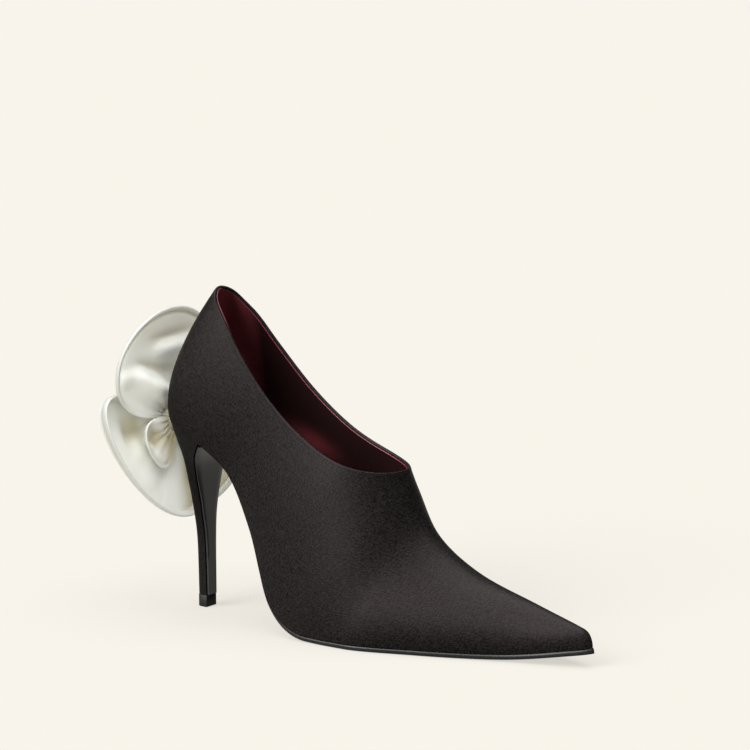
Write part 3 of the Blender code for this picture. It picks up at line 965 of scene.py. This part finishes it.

# Painted shade on the cloth and on its rim: how strong it is, then where it starts and how far it takes to
# grow or fade.
RIM_SHADE, RIM_SHADE_FADES = 0.75, 0.6
ROOT_SHADE, ROOT_SHADE_LENGTH = 0.4, 4.0
SEAM_SHADE, SEAM_SHADE_WIDTH = 0.35, 0.35
TROUGH_SHADE, TROUGH_DEEP = 0.95, 2.8
HEEL_SHADE, HEEL_SIDE, HEEL_ACROSS, HEEL_DOWN = 0.8, -4.0, 14.0, 20.0
UNDER_SHADE, UNDER_SIDE, UNDER_ACROSS = 0.9, -16.0, 10.0
HIGH_SHADE, HIGH_FROM, HIGH_UP = 0.3, 36.0, 10.0

KNOT_POINTS = 120
KNOT_GATHER = 0.05  # height of the knot's pleats as a share of its radius
KNOT_DRAWN_IN = 0.95
KNOT_SHADE, KNOT_SHADE_SWING = 0.5, 0.3


def petal_outline(petal):
    """The closed outline of a petal, sideways and up from the flower's middle, with rounded corners."""
    across = PETAL_WIDEST * np.sin(np.linspace(-math.pi / 2, math.pi / 2, ARC_POINTS))
    angle = np.radians(petal.middle + petal.half_span * across)
    reach = petal.reach * (1 + petal.spread * across**2)
    reach = ROOT + (reach - ROOT) * np.sqrt(1 - np.abs(across) ** petal.corner)
    first, last = angle[0], angle[-1]
    back = np.linspace(last, first, ROOT_POINTS)
    side = np.linspace(0, 1, SIDE_POINTS + 2)[1:-1]
    turns = np.concatenate([angle, np.full(SIDE_POINTS, last), back, np.full(SIDE_POINTS, first)])
    down = reach[-1] + (ROOT - reach[-1]) * side
    up = ROOT + (reach[0] - ROOT) * side
    radii = np.concatenate([reach, down, np.full(ROOT_POINTS, ROOT), up])
    points = np.stack([-radii * np.sin(turns), radii * np.cos(turns)], axis=1)
    closed = np.concatenate([points, points[:1]])
    length = lengths(closed)
    even = np.linspace(0, length[-1], PETAL_POINTS, endpoint=False)
    loop = np.stack([np.interp(even, length, closed[:, k]) for k in range(2)], axis=1)
    return smoothed(loop, CORNER_ROUNDS)


def petal_rings(outline):
    """Rings of points from the outline to its middle, and how far each ring is inside the outline."""
    middle = outline.mean(axis=0)
    reach = np.linalg.norm(outline - middle, axis=1)
    shares = [depth / reach for depth in RING_DEPTHS]
    innermost = shares[-1]
    for step in np.linspace(0, 1, INNER_RINGS + 1)[1:]:
        shares.append(innermost * (1 - step) + step)
    rings = np.array([middle + (outline - middle) * (1 - share)[:, None] for share in shares])
    depth = np.array([share * reach for share in shares])
    return rings, depth


def fold_height(petal, spots):
    """How far the listed folds lift a petal towards the shoe."""
    lift = np.zeros(spots.shape[:-1])
    for fold in FOLDS[petal.name]:
        start = np.array((fold.side_0, fold.up_0))
        run = np.array((fold.side_1, fold.up_1)) - start
        share = ((spots - start) @ run) / (run @ run)
        over = ((spots - start) @ np.array((-run[1], run[0]))) / np.linalg.norm(run)
        width = fold.width * np.where(over > 0, STEEP_SIDE, 1.0)
        ends = np.exp(-((FOLD_ENDS * (2 * share - 1)) ** 4))
        lift += fold.height * ends * np.exp(-((over / width) ** 2))
    return lift


def pleat_height(petal, spots):
    """The pleats gathered at the root, which fade out along the petal."""
    radius = np.linalg.norm(spots, axis=-1)
    angle = np.arctan2(-spots[..., 0], spots[..., 1])
    gather = np.exp(-np.maximum(radius - ROOT, 0) / PLEAT_LENGTH)
    return PLEAT_HEIGHT * petal.thickness / PADDED * np.cos(PLEATS * angle + petal.middle) * gather


def petal_lift(petal, spots, depth):
    """How far the middle layer of a petal lies in front of the flower's middle."""
    radius = np.linalg.norm(spots, axis=-1)
    turn = np.degrees(np.arctan2(-spots[..., 0], spots[..., 1])) - petal.middle
    across = (np.mod(turn + 180, 360) - 180) / petal.half_span
    cup = petal.cup * (radius / petal.reach) ** 2 * np.maximum(1 - across**2, 0) ** 2
    rim = np.clip(1 - depth / petal.curl_width, 0, 1) ** 2 * np.clip((radius - ROOT) / CURL_GROWS, 0, 1)
    folds = np.clip(depth / FOLD_INSET, 0, 1) * fold_height(petal, spots)
    pleats = np.clip(depth / PLEAT_INSET, 0, 1) * pleat_height(petal, spots)
    return petal.forward + cup + petal.lean * across + petal.curl * rim + (folds + pleats)


def sewn_share(petal, spots):
    """How far the rim is rolled and sewn: not at the root, nor where the top petal lies on the outer one."""
    radius = np.linalg.norm(spots, axis=-1)
    sewn = np.clip((radius - RIM_FROM) / RIM_GROWS, 0, 1)
    if petal.name == "petal_top":
        sewn = sewn * np.clip((spots[..., 1] - RIM_ENDS) / RIM_FADES, 0, 1)
    return sewn


def padding(petal, depth, spots):
    """Half the thickness of the padding: a rolled rim, a sewn groove, then the full pad."""
    roll = RIM_SHARE * petal.thickness
    bead = np.sqrt(np.maximum(roll**2 - (roll - np.minimum(depth, roll)) ** 2, 0))
    full = petal.thickness / 2
    inside = np.clip((depth - SEAM_IN) / PAD_RISES, 0, 1)
    pad = SEAM_HALF + (full - SEAM_HALF) * inside * (2 - inside)
    groove = np.clip((depth - roll) / (SEAM_IN - roll), 0, 1)
    edge = bead * (1 - groove**3) + SEAM_HALF * groove**3
    sewn = sewn_share(petal, spots)
    plain = full * np.sqrt(1 - (1 - np.clip(depth / PLAIN_EDGE, 0, 1)) ** 2)
    half = sewn * np.where(depth < SEAM_IN, edge, pad) + (1 - sewn) * plain
    from_root = np.clip((np.linalg.norm(spots, axis=-1) - ROOT) / ROOT_GROWS, 0, 1)
    return half * (ROOT_THIN + (1 - ROOT_THIN) * from_root)


def cloth_shade(petal, rings, depth):
    """How much painted shade a spot of either face gets: in the gathers at the root, and along the seam,
    whose dark line is partly the seam's own and partly painted shade in its groove.
    """
    radius = np.linalg.norm(rings, axis=-1)
    root = ROOT_SHADE * np.exp(-np.maximum(radius - ROOT, 0) / ROOT_SHADE_LENGTH)
    seam = SEAM_SHADE * sewn_share(petal, rings) * np.exp(-(((depth - SEAM_IN) / SEAM_SHADE_WIDTH) ** 2))
    return root + seam


def front_shade(petal, rings):
    """Further painted shade on the face towards the shoe: in troughs, a painted shadow beside the heel, high
    up, and on the small petal towards the heel.
    """
    side, up = rings[..., 0], rings[..., 1]
    trough = np.clip(-fold_height(petal, rings) / TROUGH_DEEP, 0, 1)
    beside_heel = np.clip((side - HEEL_SIDE) / HEEL_ACROSS, 0, 1) ** 2 * ease(-up / HEEL_DOWN)
    high = np.clip((up - HIGH_FROM) / HIGH_UP, 0, 1)
    shade = TROUGH_SHADE * trough + HEEL_SHADE * beside_heel + HIGH_SHADE * high
    if petal.name == "petal_small":
        shade += UNDER_SHADE * np.clip((side - UNDER_SIDE) / UNDER_ACROSS, 0, 1)
    return shade


def both_faces(behind, front):
    """Columns of a petal that run from the middle of its back over the rim to the middle of its front."""
    return np.swapaxes(np.concatenate([behind[::-1], front[1:]]), 0, 1)


def layer_normals(layer):
    """Normals of a petal's middle layer, towards the shoe."""
    around = np.roll(layer, -1, axis=1) - np.roll(layer, 1, axis=1)
    inward = np.gradient(layer, axis=0)
    normal = np.cross(around, inward)
    normal /= np.maximum(np.linalg.norm(normal, axis=-1), 1e-9)[..., None]
    normal *= np.sign(normal[len(layer) // 2, :, 0].mean())
    normal[-1] = normal[-2].mean(axis=0)
    return normal


def build_petal(petal):
    rings, depth = petal_rings(petal_outline(petal))
    lift = petal_lift(petal, rings, depth)
    layer = np.concatenate([lift[..., None], rings], axis=-1) + FLOWER_CENTRE
    half = padding(petal, depth, rings)[..., None] * layer_normals(layer)
    grid = both_faces(layer - half, layer + half)
    shade = cloth_shade(petal, rings, depth)
    facing = np.clip(shade + front_shade(petal, rings) * np.clip(depth, 0, 1), 0, 1)
    shade = both_faces(shade, facing)
    # Painted shade on the rolled rim, which draws the cloth towards grey.
    rim = np.clip((SEAM_IN + RIM_SHADE_FADES / 2 - depth) / RIM_SHADE_FADES, 0, 1)
    rim = RIM_SHADE * sewn_share(petal, rings) * rim
    rim = both_faces(rim, rim)
    piece = grid_object(petal.name + "_satin", grid, IVORY, sharp=80, shade=shade, rim=rim)
    settle(piece, "ivory_satin", petal.name)
    return piece


def build_knot():
    # The knot's outline from front to back: places along its axis, and shares of its radius.
    profile = [(KNOT_FRONT, 0.0), (KNOT_FRONT, 0.3), (KNOT_FRONT - 0.3, 0.6), (KNOT_FRONT - 1.0, 0.85)]
    profile += [(KNOT_FRONT - 2.4, 0.98), (4.0, 1.0), (0.0, 1.0), (-4.0, 1.0), (3.0 - KNOT_BACK, 0.98)]
    profile += [(1.4 - KNOT_BACK, 0.88), (0.5 - KNOT_BACK, 0.65), (-KNOT_BACK, 0.3), (-KNOT_BACK, 0.0)]
    along, share = np.array(profile).T
    turns = np.linspace(0, 2 * math.pi, KNOT_POINTS, endpoint=False)[:, None]
    pleats = np.cos(PLEATS * turns)
    gather = np.where(share > 0.5, 1 + KNOT_GATHER * pleats, 1)
    radius = KNOT_RADIUS * share * gather * KNOT_DRAWN_IN
    grid = np.stack([along + 0 * turns, radius * np.sin(turns), radius * np.cos(turns)], axis=2)
    # Painted shade on the knot, which swings with its pleats.
    shade = KNOT_SHADE + KNOT_SHADE_SWING * pleats + 0 * share
    knot = grid_object("knot_satin", grid + FLOWER_CENTRE, IVORY, sharp=80, shade=shade)
    settle(knot, "ivory_satin", "flower_knot")
    return knot


# Stage, light and camera

BACKDROP = (0.939, 0.905, 0.831)
FLOOR_REACH = 40.0
FLOOR_SIDES = 96
FLOOR_DROP = 0.0002  # under the shoe, so that the two don't share a plane
FLOOR_GLOW = 0.68  # share of the floor's brightness that no shadow takes away
SKY_STRENGTH = 0.12

# Softboxes so far away that they light evenly: where each hangs, its width and brightness, whether a scrim
# keeps it on the flower alone or off the flower, and whether it reaches the flower past the shoe.
Softbox = namedtuple("Softbox", "name towards degrees radiance on_flower past_shoe")
SOFTBOXES = [
    Softbox("overhead_softbox", (0.0, -0.03, 1.0), 66.0, 14.0, False, False),
    Softbox("side_softbox", (-0.45, -0.73, 0.60), 40.0, 15.0, False, False),
    Softbox("near_softbox", (-0.25, -0.80, 0.55), 40.0, 27.0, False, False),
    Softbox("flower_overhead_softbox", (0.10, -0.10, 0.99), 66.0, 4.0, True, True),
    Softbox("flower_front_softbox", (0.58, -0.75, 0.32), 80.0, 1.4, True, False),
    Softbox("flower_side_softbox", (-0.60, -0.70, 0.40), 60.0, 0.3, True, False),
]


def softbox_strength(box):
    """The irradiance of a softbox that fills its round patch of sky evenly."""
    return box.radiance * 2 * math.pi * (1 - math.cos(math.radians(box.degrees / 2)))


def build_floor():
    """A pale floor, evenly lit, part of whose brightness is its own so that shadows stay faint."""
    shader = Shader("pale_floor")
    lit = SKY_STRENGTH
    for box in SOFTBOXES:
        if not box.on_flower:
            lit += softbox_strength(box) * Vector(box.towards).normalized().z / math.pi
    paper = [channel * (1 - FLOOR_GLOW) / lit for channel in BACKDROP]
    shader.set(Base_Color=(*paper, 1), Roughness=1.0, Specular_IOR_Level=0.0)
    shader.set(Emission_Color=(*BACKDROP, 1), Emission_Strength=FLOOR_GLOW)
    bpy.ops.mesh.primitive_circle_add(
        vertices=FLOOR_SIDES, radius=FLOOR_REACH, fill_type="NGON", location=(0, 0, -FLOOR_DROP)
    )
    floor = bpy.context.object
    floor.name = "floor"
    floor.data.materials.append(shader.material)


def flower_collection(petals, link):
    """The petals and knot as a group of things that a lamp lights, or leaves unlit."""
    group = bpy.data.collections.new("flower_" + link.lower())
    for petal in petals:
        group.objects.link(petal)
    for member in group.collection_objects:
        member.light_linking.link_state = link
    return group


def build_light(petals):
    world = bpy.data.worlds.new("studio")
    world.use_nodes = True
    background = world.node_tree.nodes["Background"]
    background.inputs["Color"].default_value = (1.0, 1.0, 1.0, 1)
    background.inputs["Strength"].default_value = SKY_STRENGTH
    bpy.context.scene.world = world
    groups = {True: flower_collection(petals, "INCLUDE"), False: flower_collection(petals, "EXCLUDE")}
    for box in SOFTBOXES:
        lamp = bpy.data.lights.new(box.name, "SUN")
        lamp.energy = softbox_strength(box)
        lamp.angle = math.radians(box.degrees)
        holder = bpy.data.objects.new(box.name, lamp)
        holder.rotation_euler = Vector(box.towards).to_track_quat("Z", "Y").to_euler()
        holder.light_linking.receiver_collection = groups[box.on_flower]
        if box.past_shoe:
            holder.light_linking.blocker_collection = groups[True]
        bpy.context.scene.collection.objects.link(holder)


def build_camera():
    away = Vector((math.sin(VIEW_AZIMUTH), -math.cos(VIEW_AZIMUTH), 0)) * math.cos(VIEW_ELEVATION)
    away.z = math.sin(VIEW_ELEVATION)
    right = Vector((math.cos(VIEW_AZIMUTH), math.sin(VIEW_AZIMUTH), 0))
    up = away.cross(right)
    centre = IMAGE_SIZE / 2
    target = AXIS * MM
    target += right * (centre - TIP_PIXEL[0]) / PIXELS_PER_MM * MM
    target += up * (TIP_PIXEL[1] - centre) / PIXELS_PER_MM * MM
    data = bpy.data.cameras.new("camera")
    data.sensor_width = SENSOR_WIDTH
    data.lens = data.sensor_width * PIXELS_PER_MM / MM * VIEW_DISTANCE / IMAGE_SIZE
    camera = bpy.data.objects.new("camera", data)
    camera.location = target + away * VIEW_DISTANCE
    camera.rotation_euler = (-away).to_track_quat("-Z", "Y").to_euler()
    bpy.context.scene.collection.objects.link(camera)
    bpy.context.scene.camera = camera


def main():
    build_camera()
    build_upper()
    build_collar()
    build_stitches()
    build_sole()
    build_insole()
    build_heel()
    build_breast()
    flower = [build_petal(petal) for petal in PETALS] + [build_knot()]
    build_floor()
    build_light(flower)
    bpy.context.scene.view_settings.view_transform = "Standard"


main()
